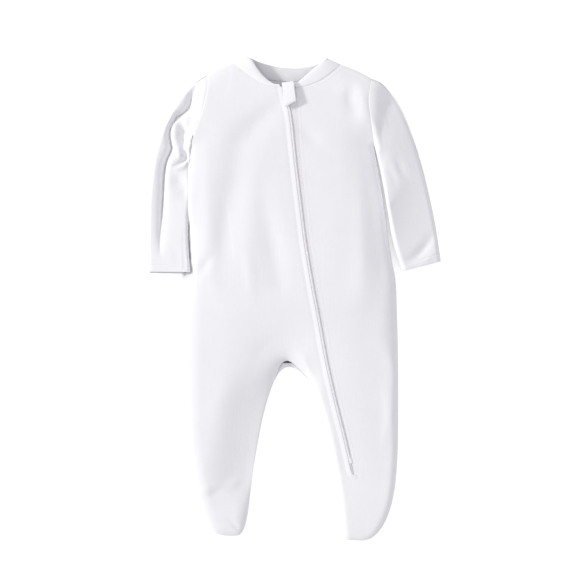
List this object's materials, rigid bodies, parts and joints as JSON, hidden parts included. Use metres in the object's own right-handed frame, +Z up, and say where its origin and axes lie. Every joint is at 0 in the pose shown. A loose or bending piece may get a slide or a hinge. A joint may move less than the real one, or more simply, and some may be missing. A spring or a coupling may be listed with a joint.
{
  "type": "footed baby sleepsuit",
  "caption": "Plain white footed baby sleepsuit with long sleeves, a round neckband and a slanting zip from the neck to one ankle, lying flat on its back.",
  "frame": {"origin": "on the surface that the suit lies on, under the middle of its outline", "axes": "+Z up out of the front, +Y towards the neck, -Y towards the toes, +X to the viewer's right of the front, on the side of the leg that the zip runs to"},
  "size_m": [0.337, 0.5534, 0.0289],
  "materials": {
    "white_cotton": "matt single-jersey knit",
    "white_cotton_band": "matt doubled jersey",
    "zip_tape": "matt woven tape",
    "zip_nylon": "satin moulded coil",
    "zip_paint": "satin white paint"
  },
  "bodies": {
    "root": {"front": "white_cotton", "back": "white_cotton", "sleeve_left": "white_cotton", "sleeve_right": "white_cotton", "neckband": "white_cotton_band", "zip_guard": "white_cotton", "zip_tape_left": "zip_tape", "zip_tape_right": "zip_tape", "zip_coil": "zip_nylon", "zip_slider": "zip_paint", "zip_bottom_stop": "zip_nylon"}
  },
  "joints": []
}
